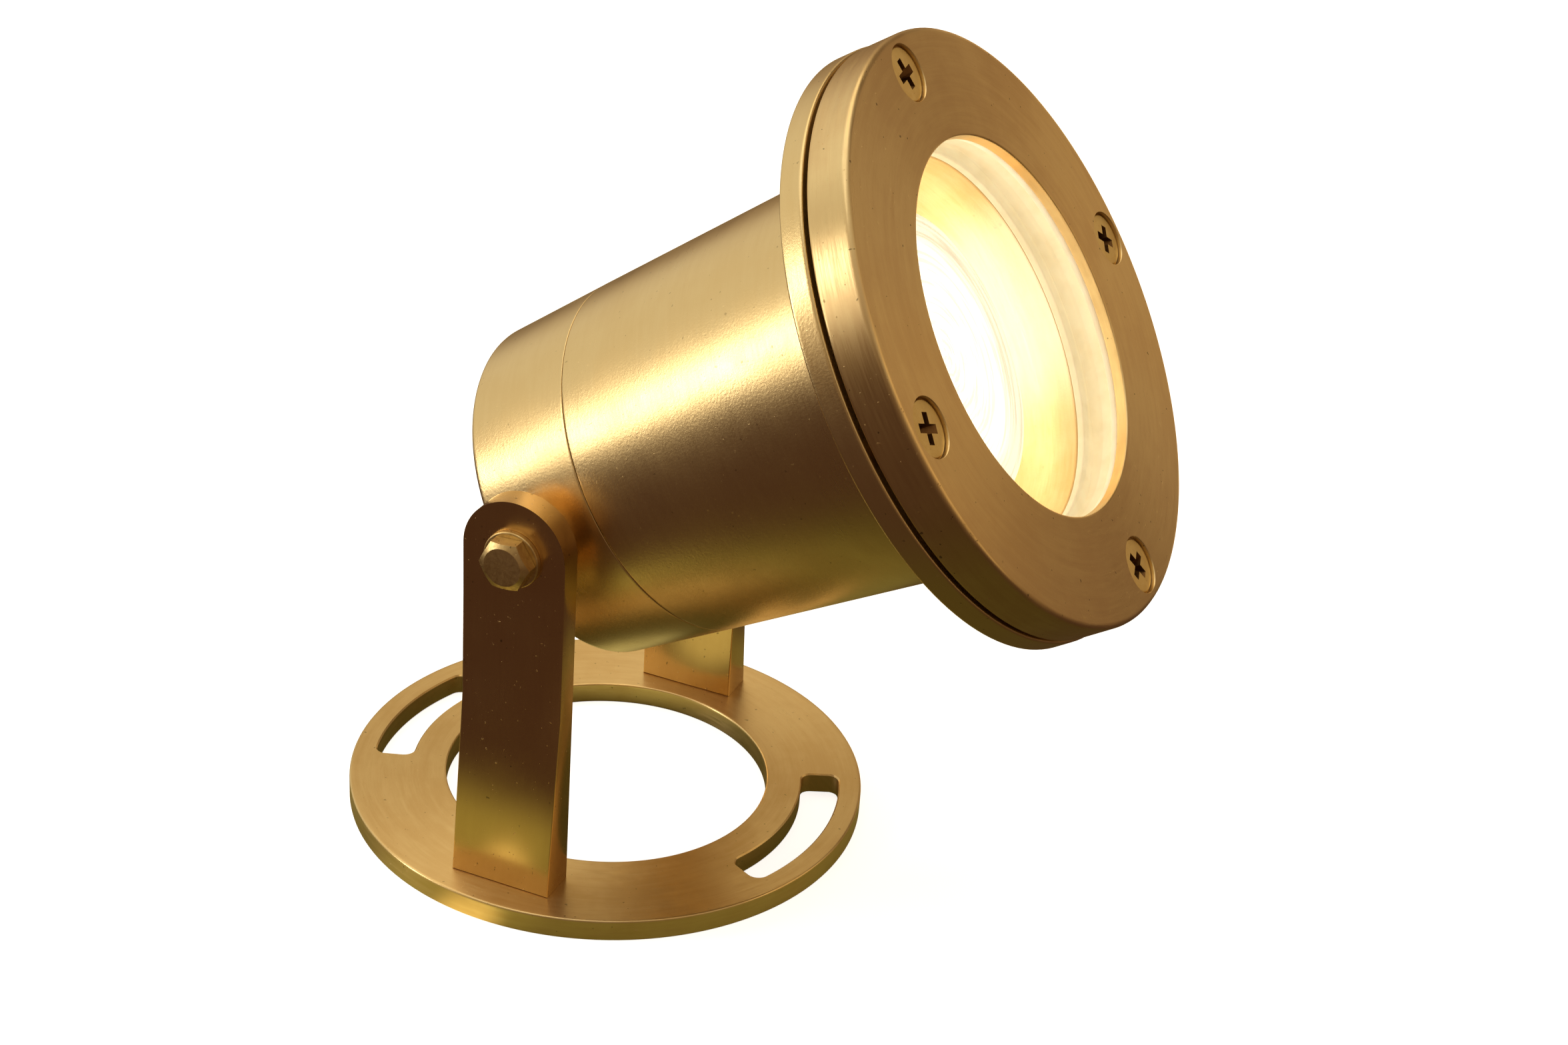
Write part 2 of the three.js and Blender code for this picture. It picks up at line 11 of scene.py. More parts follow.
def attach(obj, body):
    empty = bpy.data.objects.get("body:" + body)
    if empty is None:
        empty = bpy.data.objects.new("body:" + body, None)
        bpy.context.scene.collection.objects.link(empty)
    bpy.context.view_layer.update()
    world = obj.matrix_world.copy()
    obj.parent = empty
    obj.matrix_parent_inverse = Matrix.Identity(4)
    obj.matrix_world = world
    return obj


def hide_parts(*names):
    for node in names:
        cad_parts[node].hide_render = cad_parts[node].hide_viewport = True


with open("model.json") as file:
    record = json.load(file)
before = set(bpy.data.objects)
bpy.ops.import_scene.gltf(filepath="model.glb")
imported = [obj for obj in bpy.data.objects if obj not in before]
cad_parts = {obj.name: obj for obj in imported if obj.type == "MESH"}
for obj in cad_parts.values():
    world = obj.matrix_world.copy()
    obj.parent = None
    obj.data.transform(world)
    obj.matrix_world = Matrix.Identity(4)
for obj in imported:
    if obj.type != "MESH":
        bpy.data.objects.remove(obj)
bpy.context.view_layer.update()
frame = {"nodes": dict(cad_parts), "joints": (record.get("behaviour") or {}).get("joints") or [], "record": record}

MM = 0.001
ROUND = 160  # segments round a large turned piece
FINE = 64  # segments round a small one
ARC_STEPS = 4  # steps in a softened corner
SUPPORT = 0.25  # how far from a softened corner the next point lies, so that flats shade flat
GAP = 0.3  # the space that the frame leaves between pieces that touch

scene = bpy.context.scene
scene.view_settings.view_transform = "Standard"

# ---------- Places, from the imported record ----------

hinge = frame["joints"][0]
pivot = Vector(hinge["pos_m"])
gland_mount = next(m for m in frame["record"]["mounts"] if m["name"] == "gland_face")
beam = -Vector(gland_mount["axis"])
tilt = math.atan2(beam.z, beam.x)
PIVOT_ABOVE = 1.7  # millimetres from the optical axis straight up to the pivot axis
LEAN = Matrix.Rotation(-tilt, 4, "Y")
PIVOT = Matrix.Translation(pivot) @ LEAN
HEAD = Matrix.Translation(pivot - Vector((0, 0, PIVOT_ABOVE * MM))) @ LEAN
STAND = Matrix.Translation((pivot.x, 0, 0))
UPRIGHT = Matrix.Rotation(-math.pi / 2, 4, "Y")  # local X points up

# ---------- Sizes, in millimetres along and round the beam, measured from below the pivot axis ----------

SCREW_CIRCLE = 43.4
# Place round the bezel and turn of the cross recess, degrees.
SCREWS = {"top": (0, 8), "left": (90, 51), "bottom": (180, 26), "right": (270, -24)}
BEZEL_FRONT = 82.8
LENS_FRONT = 79.1
BEZEL_SCREW = {
    "shank": 2.5,
    "head": 4.4,
    "length": 11.3,
    "wings": 5.0,
    "blade": 1.45,
    "depth": 2.4,
    "sunk": 0.55,
}
ARM_SCREW = {
    "shank": 1.5,
    "head": 2.9,
    "length": 11.5,
    "wings": 3.2,
    "blade": 0.7,
    "depth": 1.5,
    "sunk": 0.3,
}
HEAD_RIM = 0.3  # height of the plain rim on a countersunk head
BLADE_TAPER = 0.16  # how much a recess blade thickens per millimetre outwards
RING_THICK = 4.0
SLOT_CIRCLE = 39.4
SLOT_WIDTH = 7.0
SLOT_CORNER = 2.0
SLOT_RIM = 0.25  # flare of a slot's rims
SLOTS = [(0, 22), (180, 26)]  # middle and half angle of the rear and the front slot, degrees
ARM_WIDTH = 18.5
ARM_INNER = 33.7
ARM_OUTER = 38.2
ARM_FOOT = 41.1  # outer face at the foot
FLARE_TOP = 38.0  # height at which the foot starts to swell
ARM_TOP = 76.2
ARM_EDGE = 0.3  # rounding of its rims
FOOT_SCREW_X = 4.8
FOOT_SCREW_Y = 36.6
BOSS_FLAT = 29.2
LIT_RADIUS = 31.95  # the barrel's faces within this radius, and in front of the next station, carry a painted lamp glow
LIT_FROM = 20.3
BOLT_TIP = 25.0
BOLT_ACROSS = 8
GLAND_ACROSS = 20
GLAND_NUT_ACROSS = 18


# ---------- Mesh building ----------


def soften(profile, closed):
    """The profile, with each corner that has a radius turned into an arc between two support points."""
    points = []
    corners = [(Vector(p[:2]), p[2] if len(p) > 2 else 0) for p in profile]
    for i, (corner, radius) in enumerate(corners):
        at_end = not closed and i in (0, len(corners) - 1)
        if radius == 0 or at_end:
            points.append(corner)
            continue
        back = corners[i - 1][0] - corner
        ahead = corners[(i + 1) % len(corners)][0] - corner
        half = back.angle(ahead) / 2
        reach = min(radius / math.tan(half), 0.45 * back.length, 0.45 * ahead.length)
        back_way, ahead_way = back.normalized(), ahead.normalized()
        middle = corner + (back_way + ahead_way).normalized() * (reach / math.cos(half))
        start = corner + back_way * reach
        end = corner + ahead_way * reach
        from_angle = math.atan2(*(start - middle).yx)
        sweep = math.atan2(*(end - middle).yx) - from_angle
        sweep = (sweep + math.pi) % math.tau - math.pi
        size = (start - middle).length
        points.append(start + back_way * min(SUPPORT, 0.1 * back.length))
        for step in range(ARC_STEPS + 1):
            angle = from_angle + sweep * step / ARC_STEPS
            points.append(middle + Vector((math.cos(angle), math.sin(angle))) * size)
        points.append(end + ahead_way * min(SUPPORT, 0.1 * ahead.length))
    return points


def from_bmesh(name, bm):
    bmesh.ops.recalc_face_normals(bm, faces=bm.faces)
    mesh = bpy.data.meshes.new(name)
    bm.to_mesh(mesh)
    bm.free()
    piece = bpy.data.objects.new(name, mesh)
    scene.collection.objects.link(piece)
    return piece


def turned(name, profile, segments=ROUND, closed=True):
    """A body of revolution about X from (x, radius, softening) corners. An open profile ends on the axis."""
    bm = bmesh.new()
    angles = [math.tau * i / segments for i in range(segments)]
    rings = []
    for x, r in soften(profile, closed):
        if r < 1e-6:
            rings.append([bm.verts.new((x * MM, 0, 0))] * segments)
        else:
            rings.append([bm.verts.new((x * MM, r * math.cos(a) * MM, r * math.sin(a) * MM)) for a in angles])
    following = rings[1:] + rings[:1] if closed else rings[1:]
    for ring, after in zip(rings, following):
        for i in range(segments):
            j = (i + 1) % segments
            corners = dict.fromkeys((ring[i], ring[j], after[j], after[i]))
            bm.faces.new(list(corners))
    return from_bmesh(name, bm)


def prism(name, outline, from_x, to_x):
    """A (y, z) outline carried along X."""
    bm = bmesh.new()
    near = [bm.verts.new((from_x * MM, y * MM, z * MM)) for y, z in outline]
    far = [bm.verts.new((to_x * MM, y * MM, z * MM)) for y, z in outline]
    bm.faces.new(near)
    bm.faces.new(far[::-1])
    for i in range(len(outline)):
        j = (i + 1) % len(outline)
        bm.faces.new((near[i], near[j], far[j], far[i]))
    return from_bmesh(name, bm)


def carve(piece, *cutters, operation="DIFFERENCE"):
    """Applies each cutter to the piece as a boolean and throws the cutter away."""
    for cutter in cutters:
        step = piece.modifiers.new("carve", "BOOLEAN")
        step.operation = operation
        step.solver = "EXACT"
        step.object = cutter
    graph = bpy.context.evaluated_depsgraph_get()
    graph.update()
    mesh = bpy.data.meshes.new_from_object(piece.evaluated_get(graph))
    piece.modifiers.clear()
    piece.data = mesh
    for cutter in cutters:
        bpy.data.objects.remove(cutter)
    return piece


def settle(piece, body, matrix, material, slot, *nodes, crease=28):
    """Smooths a piece, places it, and ties it to its body, its finish and the frame nodes it stands for."""
    piece.data.shade_smooth()
    piece.data.set_sharp_from_angle(angle=math.radians(crease))
    if not piece.data.materials:
        piece.data.materials.append(material)
    piece.matrix_world = matrix
    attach(piece, body)
    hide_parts(*nodes)
    return piece


def moved(piece, x=0.0, y=0.0, z=0.0, turn=0.0):
    """Turns a cutter's mesh about X, in degrees, then shifts it, in millimetres."""
    spin = Matrix.Rotation(math.radians(turn), 4, "X")
    piece.data.transform(Matrix.Translation((x * MM, y * MM, z * MM)) @ spin)
    return piece


def aimed(piece, way):
    """Points a cutter's X axis along +Y or -Y."""
    piece.data.transform(Matrix.Rotation(way * math.pi / 2, 4, "Z"))
    return piece


def hexagon(across):
    """The corners of a hexagon with two of them up and down."""
    radius = across / math.sqrt(3)
    return [(radius * math.sin(k * math.pi / 3), radius * math.cos(k * math.pi / 3)) for k in range(6)]


def rod(name, from_x, to_x, radius, segments=FINE):
    return turned(name, [(from_x, 0), (from_x, radius), (to_x, radius), (to_x, 0)], segments, closed=False)


# ---------- Shader building ----------


def add(tree, kind, inputs=None, output=0, **settings):
    """A new shader node with its inputs linked or set. Gives back one of its outputs."""
    node = tree.nodes.new("ShaderNode" + kind)
    for key, value in settings.items():
        setattr(node, key, value)
    for key, value in (inputs or {}).items():
        if isinstance(value, bpy.types.NodeSocket):
            tree.links.new(value, node.inputs[key])
        else:
            node.inputs[key].default_value = value
    return node.outputs[output] if node.outputs else None


def rgb(red, green, blue):
    return (red, green, blue, 1.0)


def maths(tree, operation, a, b=0.0):
    return add(tree, "Math", {0: a, 1: b}, operation=operation)


def vector(tree, operation, a, b, output=0):
    return add(tree, "VectorMath", {0: a, 1: b}, output, operation=operation)


def remap(tree, value, low, high, to_low=0.0, to_high=1.0):
    inputs = {"Value": value, "From Min": low, "From Max": high, "To Min": to_low, "To Max": to_high}
    return add(tree, "MapRange", inputs, interpolation_type="SMOOTHSTEP")


def mixed(tree, factor, a, b):
    return add(tree, "Mix", {0: factor, 6: a, 7: b}, output=2, data_type="RGBA")


def noise(tree, coordinates, scale, detail=2.0, roughness=0.5):
    inputs = {"Vector": coordinates, "Scale": scale, "Detail": detail, "Roughness": roughness}
    return add(tree, "TexNoise", inputs)


def in_millimetres(tree):
    return vector(tree, "MULTIPLY", add(tree, "TexCoord", output="Object"), (1000.0, 1000.0, 1000.0))


def round_the_axis(tree, coordinates, arc, across):
    """Coordinates that change slowly round X and fast across the marks that a lathe tool leaves."""
    flat = vector(tree, "MULTIPLY", coordinates, (0.0, 1.0, 1.0))
    radius = vector(tree, "LENGTH", flat, (0.0, 0.0, 0.0), output="Value")
    way = vector(tree, "NORMALIZE", flat, (0.0, 0.0, 0.0))
    station = add(tree, "SeparateXYZ", {0: coordinates})
    depth = maths(tree, "MULTIPLY", maths(tree, "ADD", radius, station), across)
    slow = vector(tree, "MULTIPLY", way, (arc, arc, arc))
    return vector(tree, "ADD", slow, add(tree, "CombineXYZ", {0: depth}))


def finish(material, tree, surface):
    add(tree, "OutputMaterial", {"Surface": surface})
    return material


def new_material(name):
    material = bpy.data.materials.new(name)
    material.use_nodes = True
    material.node_tree.nodes.clear()
    return material, material.node_tree


def bump(tree, height, micrometres, normal=None):
    inputs = {"Height": height, "Strength": 1.0, "Distance": micrometres * 1e-6}
    if normal is not None:
        inputs["Normal"] = normal
    return add(tree, "Bump", inputs)


def brass(name, light, dark, roughness, marks="turned", mark_depth=1.0, contrast=1.0, grain=0.0, specks=0.0,
          anisotropy=0.0, glow=0.0, glow_colour=(1.0, 0.62, 0.20)):
    """Machined brass: blotched colour, tool or brush marks, blasted grain, and specks of tarnish. A glow adds
    painted lamp light, brighter on one side.
    """
    material, tree = new_material(name)
    place = in_millimetres(tree)
    if marks == "turned":
        lines = round_the_axis(tree, place, 7.0, 5.0)
        streaks = round_the_axis(tree, place, 3.0, 0.9)
    else:
        lines = vector(tree, "MULTIPLY", place, (7.0, 7.0, 0.18))
        streaks = vector(tree, "MULTIPLY", place, (0.9, 0.9, 0.05))
    fine = noise(tree, lines, 1.0, 3.0, 0.6)
    broad = noise(tree, streaks, 1.0, 3.0, 0.55)
    cloud = noise(tree, place, 0.07, 5.0, 0.6)
    cover = maths(tree, "ADD", maths(tree, "MULTIPLY", broad, 0.5), cloud)
    blotch = remap(tree, cover, 0.55, 0.95, 0.0, contrast)
    colour = mixed(tree, blotch, rgb(*light), rgb(*dark))
    colour = mixed(tree, remap(tree, fine, 0.52, 0.75, 0.0, 0.4 * contrast), colour, rgb(*dark))
    rough = remap(tree, fine, 0.3, 0.7, -0.05 * contrast, 0.06 * contrast)
    rough = maths(tree, "ADD", rough, remap(tree, cloud, 0.3, 0.7, 0.0, 0.06))
    rough = maths(tree, "ADD", rough, roughness)
    normal = bump(tree, fine, 3.0 * mark_depth)
    if grain:
        pebbles = noise(tree, place, 2.3, 2.0, 0.6)
        normal = bump(tree, pebbles, grain, normal)
    if specks:
        spots = noise(tree, vector(tree, "ADD", place, (31.0, 17.0, 5.0)), 1.15, 1.0, 0.4)
        spot = remap(tree, spots, 0.76, 0.79, 0.0, specks)
        colour = mixed(tree, spot, colour, rgb(0.02, 0.012, 0.006))
        nicks = noise(tree, vector(tree, "ADD", place, (7.0, 3.0, 11.0)), 1.6, 1.0, 0.4)
        nick = remap(tree, nicks, 0.755, 0.785, 0.0, specks)
        rough = maths(tree, "ADD", rough, maths(tree, "MULTIPLY", nick, 0.4))
        normal = bump(tree, nick, 25.0, normal)
    inputs = {"Base Color": colour, "Metallic": 1.0, "Roughness": rough, "Normal": normal}
    if anisotropy:
        inputs["Anisotropic"] = anisotropy
        inputs["Anisotropic Rotation"] = 0.25
        inputs["Tangent"] = add(tree, "Tangent", direction_type="RADIAL", axis="X")
    # Painted lamp light: an emitted glow, strongest on the side facing +Y, stands in for light thrown on the
    # brass.
    if glow:
        flat = vector(tree, "NORMALIZE", vector(tree, "MULTIPLY", place, (0.0, 1.0, 1.0)), (0.0, 0.0, 0.0))
        side = vector(tree, "DOT_PRODUCT", flat, (0.0, 0.99, -0.10), output="Value")
        painted_lit_side = remap(tree, side, 0.72, 0.98)
        power = maths(tree, "MULTIPLY", remap(tree, cloud, 0.3, 0.7, 0.75, 1.2), glow)
        inputs["Emission Color"] = mixed(tree, painted_lit_side, rgb(*glow_colour), rgb(1.0, 0.88, 0.62))
        inputs["Emission Strength"] = maths(tree, "MULTIPLY", power, maths(tree, "ADD", painted_lit_side, 0.55))
    return finish(material, tree, add(tree, "BsdfPrincipled", inputs))


def dielectric(name, colour, shade, roughness, scale, depth, coat=0.0, glow=0.0, subsurface=0.0):
    """Rubber, silicone, ceramic or nylon: mottled colour with a fine moulded or fired texture. A glow adds painted
    light in its own colour.
    """
    material, tree = new_material(name)
    place = in_millimetres(tree)
    cloud = noise(tree, place, 0.25, 4.0, 0.6)
    texture = noise(tree, place, scale, 3.0, 0.6)
    tone = mixed(tree, remap(tree, cloud, 0.35, 0.7), rgb(*colour), rgb(*shade))
    inputs = {
        "Base Color": tone,
        "Roughness": remap(tree, texture, 0.3, 0.7, roughness - 0.08, roughness + 0.08),
        "Normal": bump(tree, texture, depth),
    }
    if coat:
        inputs["Coat Weight"] = coat
    if subsurface:
        inputs["Subsurface Weight"] = subsurface
        inputs["Subsurface Scale"] = 0.002
    # Painted light: the surface emits its own colour to stand in for lamp light falling on it.
    if glow:
        inputs["Emission Color"] = tone
        inputs["Emission Strength"] = glow
    return finish(material, tree, add(tree, "BsdfPrincipled", inputs))


def metal(name, colour, roughness):
    """Plated steel: faint streaks in its colour and its gloss."""
    material, tree = new_material(name)
    streaks = noise(tree, vector(tree, "MULTIPLY", in_millimetres(tree), (1.0, 4.0, 4.0)), 1.0, 3.0)
    inputs = {
        "Base Color": mixed(tree, streaks, rgb(*colour), rgb(*(0.7 * c for c in colour))),
        "Metallic": 1.0,
        "Roughness": remap(tree, streaks, 0.3, 0.7, roughness - 0.06, roughness + 0.1),
        "Normal": bump(tree, streaks, 4.0),
    }
    return finish(material, tree, add(tree, "BsdfPrincipled", inputs))


def clear_glass(name, tint, haze, mirrored):
    """Thick clear glass with a faint haze. Its polished front mirrors more towards grazing angles."""
    material, tree = new_material(name)
    smear = noise(tree, vector(tree, "MULTIPLY", in_millimetres(tree), (0.2, 0.12, 0.3)), 1.0, 4.0)
    surface = add(tree, "BsdfTransparent", {"Color": rgb(*tint)})
    if mirrored:
        gloss = add(tree, "BsdfGlossy", {"Roughness": remap(tree, smear, 0.3, 0.7, 0.02, 0.06)})
        surface = add(tree, "MixShader", {0: add(tree, "Fresnel", {"IOR": 1.45}), 1: surface, 2: gloss})
    veil = add(tree, "BsdfDiffuse", {"Color": rgb(0.95, 0.93, 0.88)})
    surface = add(tree, "MixShader", {0: remap(tree, smear, 0.4, 0.75, 0.0, haze), 1: surface, 2: veil})
    return finish(material, tree, surface)


def glowing(name, colour, strength, dim, ring_scale, gloss=0.15, rim=None):
    """Lit lamp glass: a warm glow crossed by fine dimmer rings. A rim gives where it fades, and to what."""
    material, tree = new_material(name)
    place = in_millimetres(tree)
    rings = noise(tree, round_the_axis(tree, place, 1.2, ring_scale), 1.0, 2.0, 0.5)
    power = remap(tree, rings, 0.35, 0.62, strength * dim, strength)
    if rim:
        flat = vector(tree, "MULTIPLY", place, (0.0, 1.0, 1.0))
        radius = vector(tree, "LENGTH", flat, (0.0, 0.0, 0.0), output="Value")
        power = maths(tree, "MULTIPLY", power, remap(tree, radius, rim[0], rim[1], 1.0, rim[2]))
    inputs = {
        "Base Color": mixed(tree, rings, rgb(0.9, 0.88, 0.8), rgb(0.75, 0.7, 0.6)),
        "Roughness": gloss,
        "Emission Color": rgb(*colour),
        "Emission Strength": power,
        "Normal": bump(tree, rings, 8.0),
    }
    return finish(material, tree, add(tree, "BsdfPrincipled", inputs))


# ---------- Camera, floor and light ----------

CAMERA_TARGET = (7.795, -2.584, 65.216)  # millimetres
CAMERA_DISTANCE = 431.81
CAMERA_AZIMUTH = 21.34  # degrees from -Y towards +X
CAMERA_ELEVATION = 27.64
CAMERA_ROLL = 4.32
CAMERA_LENS = 58.75  # on a 36 mm wide sensor


def look_from(azimuth, elevation):
    """The direction from the object towards a viewer."""
    az, el = math.radians(azimuth), math.radians(elevation)
    return Vector((math.sin(az) * math.cos(el), -math.cos(az) * math.cos(el), math.sin(el)))


def facing(azimuth, elevation, roll=0.0):
    """The turn of a camera or light that looks back from there at the object."""
    back = look_from(azimuth, elevation)
    across = Vector((math.cos(math.radians(azimuth)), math.sin(math.radians(azimuth)), 0))
    up = back.cross(across)
    turn = Matrix((across, up, back)).transposed()
    return turn.to_4x4() @ Matrix.Rotation(math.radians(roll), 4, "Z")


def add_camera():
    camera = bpy.data.objects.new("camera", bpy.data.cameras.new("camera"))
    scene.collection.objects.link(camera)
    camera.data.sensor_width = 36
    camera.data.lens = CAMERA_LENS
    camera.data.clip_start = 0.01
    place = Vector(CAMERA_TARGET) * MM + look_from(CAMERA_AZIMUTH, CAMERA_ELEVATION) * CAMERA_DISTANCE * MM
    camera.matrix_world = Matrix.Translation(place) @ facing(CAMERA_AZIMUTH, CAMERA_ELEVATION, CAMERA_ROLL)
    scene.camera = camera


FLOOR_GLOW = 0.95
FLOOR_HALF = 4.0  # metres


def add_floor():
    bm = bmesh.new()
    bmesh.ops.create_grid(bm, x_segments=4, y_segments=4, size=FLOOR_HALF)
    floor = from_bmesh("floor", bm)
    material, tree = new_material("floor_paper")
    fibre = noise(tree, in_millimetres(tree), 0.02, 4.0)
    tone = mixed(tree, fibre, rgb(0.88, 0.88, 0.87), rgb(0.84, 0.84, 0.83))
    inputs = {
        "Base Color": tone,
        "Roughness": 0.9,
        "Specular IOR Level": 0.1,
        "Emission Color": tone,
        "Emission Strength": FLOOR_GLOW,
    }
    finish(material, tree, add(tree, "BsdfPrincipled", inputs))
    material.cycles.emission_sampling = "NONE"
    floor.data.materials.append(material)
    floor.visible_glossy = False


# The room's light by height, from straight down to straight up, then its soft patches: azimuth, elevation,
# half widths of the full and the fading part in degrees, colour. A later patch lies on top of an earlier one.
ROOM_HEIGHTS = [
    (0.00, (0.080, 0.060, 0.016)),
    (0.25, (0.065, 0.032, 0.020)),
    (0.44, (0.100, 0.055, 0.032)),
    (0.53, (0.265, 0.160, 0.080)),
    (0.75, (0.470, 0.355, 0.220)),
    (1.00, (0.620, 0.540, 0.420)),
]
ROOM_PATCHES = [
    (-105, 22, 18, 43, (0.74, 0.67, 0.54)),
    (-24, -28, 18, 42, (0.065, 0.032, 0.020)),
    (20, 10, 15, 45, (0.16, 0.10, 0.06)),
    (-153, 36, 8, 30, (0.44, 0.33, 0.20)),
    (175, -8, 9, 22, (1.05, 0.74, 0.38)),
    (108, 18, 9, 27, (0.95, 0.67, 0.34)),
    (163, 34, 10, 26, (0.12, 0.07, 0.035)),
    (-147, 56, 10, 24, (0.95, 0.72, 0.38)),
]


BACKDROP = (0.98, 0.98, 0.97)  # what the camera sees past the floor


def add_room():
    world = bpy.data.worlds.new("room")
    scene.world = world
    world.use_nodes = True
    tree = world.node_tree
    tree.nodes.clear()
    way = add(tree, "TexCoord", output="Generated")
    height = maths(tree, "MULTIPLY_ADD", add(tree, "SeparateXYZ", {0: way}, output=2), 0.5)
    height.node.inputs[2].default_value = 0.5
    colour = add(tree, "ValToRGB", {0: height})
    stops = colour.node.color_ramp.elements
    while len(stops) < len(ROOM_HEIGHTS):
        stops.new(0.5)
    for stop, (position, shade) in zip(stops, ROOM_HEIGHTS):
        stop.position = position
        stop.color = rgb(*shade)
    for azimuth, elevation, full, fading, shade in ROOM_PATCHES:
        towards = vector(tree, "DOT_PRODUCT", way, tuple(look_from(azimuth, elevation)), output="Value")
        share = remap(tree, towards, math.cos(math.radians(fading)), math.cos(math.radians(full)))
        colour = mixed(tree, share, colour, rgb(*shade))
    lit = add(tree, "Background", {"Color": colour, "Strength": 1.0})
    plain = add(tree, "Background", {"Color": rgb(*BACKDROP), "Strength": 1.0})
    seen = add(tree, "LightPath")
    add(tree, "OutputWorld", {"Surface": add(tree, "MixShader", {0: seen, 1: lit, 2: plain})})


# Softboxes: name, azimuth, elevation, distance in metres, width, height, watts, colour.
SOFTBOXES = [
    ("key", -58, 14, 0.9, 0.17, 0.5, 1.65, (1.0, 0.95, 0.86)),
    ("sky", -120, 70, 1.2, 1.2, 1.2, 3.0, (1.0, 0.97, 0.92)),
]


def add_softboxes():
    centre = Vector(CAMERA_TARGET) * MM
    for name, azimuth, elevation, distance, width, height, power, colour in SOFTBOXES:
        light = bpy.data.lights.new(name, "AREA")
        light.shape = "RECTANGLE"
        light.size = width
        light.size_y = height
        light.energy = power
        light.color = colour
        lamp = bpy.data.objects.new(name, light)
        scene.collection.objects.link(lamp)
        place = centre + look_from(azimuth, elevation) * distance
        lamp.matrix_world = Matrix.Translation(place) @ facing(azimuth, elevation)
        lamp.visible_camera = False


# A painted reflection: what the polished underside mirrors, the ground close round the ring, with painted shade
# under the ring and painted lit spots. Only reflections see it.
# Painted shade: the ground under the ring is darker, in patches, where the object shades it.
GROUND_SHADED_UNDER = (0.070, 0.056, 0.013)
GROUND_ROUND = (0.20, 0.165, 0.045)
GROUND_DEEP_SHADE = (0.045, 0.032, 0.008)
GROUND_RADIUS = 0.10  # metres, as are the next three
GROUND_NEAR = (0.040, 0.052)  # reach over which the ground under the ring turns into the ground round it
GROUND_FADE = (0.058, 0.078)  # reach over which the ground fades away
GROUND_DROP = 0.0004  # below the ring's underside
# Painted lit spots: place, radius of the full and the fading part in millimetres from the ring's centre, colour.
GROUND_SPOTS = [
    (-16, -68, 18, 36, (0.38, 0.33, 0.09)),
    (-3, 11, 8, 18, (0.62, 0.54, 0.22)),
    (-4, -49, 2, 9, (1.20, 0.96, 0.38)),
]


def add_ground_reflection():
    bm = bmesh.new()
    bmesh.ops.create_circle(bm, cap_ends=True, segments=96, radius=GROUND_RADIUS)
    ground = from_bmesh("ground_reflection", bm)
    material, tree = new_material("ground_painted_reflection")
    place = add(tree, "TexCoord", output="Object")
    reach = vector(tree, "LENGTH", place, (0.0, 0.0, 0.0), output="Value")
    patch = noise(tree, place, 14.0, 3.0)
    near = remap(tree, reach, *GROUND_NEAR)
    # Painted shade under the ring, mottled darker, then the brighter ground round it.
    shade = mixed(tree, remap(tree, patch, 0.3, 0.7, 0.0, 0.5), rgb(*GROUND_SHADED_UNDER), rgb(*GROUND_DEEP_SHADE))
    shade = mixed(tree, near, shade, rgb(*GROUND_ROUND))
    for x, y, full, fading, glow in GROUND_SPOTS:
        away = vector(tree, "DISTANCE", place, (x * MM, y * MM, 0.0), output="Value")
        shade = mixed(tree, remap(tree, away, fading * MM, full * MM), shade, rgb(*glow))
    # The card's painted reflection is given off as emitted light.
    tint = add(tree, "Emission", {"Color": shade, "Strength": 1.0})
    clear = add(tree, "BsdfTransparent")
    fading = remap(tree, reach, *GROUND_FADE)
    finish(material, tree, add(tree, "MixShader", {0: fading, 1: tint, 2: clear}))
    material.cycles.emission_sampling = "NONE"
    ground.data.materials.append(material)
    ground.matrix_world = Matrix.Translation((pivot.x, 0, -GROUND_DROP))
    ground.visible_camera = False
    ground.visible_diffuse = False
    ground.visible_transmission = False
    ground.visible_shadow = False


add_camera()
add_floor()
add_ground_reflection()
add_room()
add_softboxes()

# ---------- Finishes ----------

BRASS_LIGHT = (0.86, 0.66, 0.33)
BRASS_DARK = (0.74, 0.53, 0.23)

body_brass = brass("body_brass", BRASS_LIGHT, BRASS_DARK, 0.28, grain=20.0, specks=0.3, mark_depth=0.12,
                   contrast=0.3)
bezel_brass = brass("bezel_brass", BRASS_LIGHT, (0.76, 0.55, 0.27), 0.32, specks=0.6, anisotropy=0.7)
ring_brass = brass("ring_brass", BRASS_LIGHT, (0.76, 0.55, 0.25), 0.32, specks=0.4, anisotropy=0.6)
arm_brass = brass("arm_brass", (0.80, 0.56, 0.27), (0.70, 0.46, 0.20), 0.2, marks="brushed", mark_depth=0.4,
                  contrast=0.3, specks=0.5)
screw_brass = brass("screw_brass", (0.97, 0.78, 0.36), (0.80, 0.58, 0.22), 0.4, grain=8.0, specks=0.7,
                    contrast=0.6)
# Painted shade: the cross recess is coloured dark brown for the shade that falls in it.
recess_shade_brass = brass("recess_shade_brass", (0.26, 0.13, 0.045), (0.12, 0.06, 0.02), 0.42, contrast=0.8)
bolt_brass = brass("bolt_brass", (0.94, 0.74, 0.36), (0.60, 0.42, 0.17), 0.36, grain=14.0, specks=0.6)
# Painted lamp light: the barrel's inner brass glows to stand in for the lamp shining on it.
inner_brass_painted_glow = brass("inner_brass_painted_glow", (0.78, 0.58, 0.33), (0.66, 0.46, 0.22), 0.42, grain=25.0, specks=0.2,
                    glow=0.5)
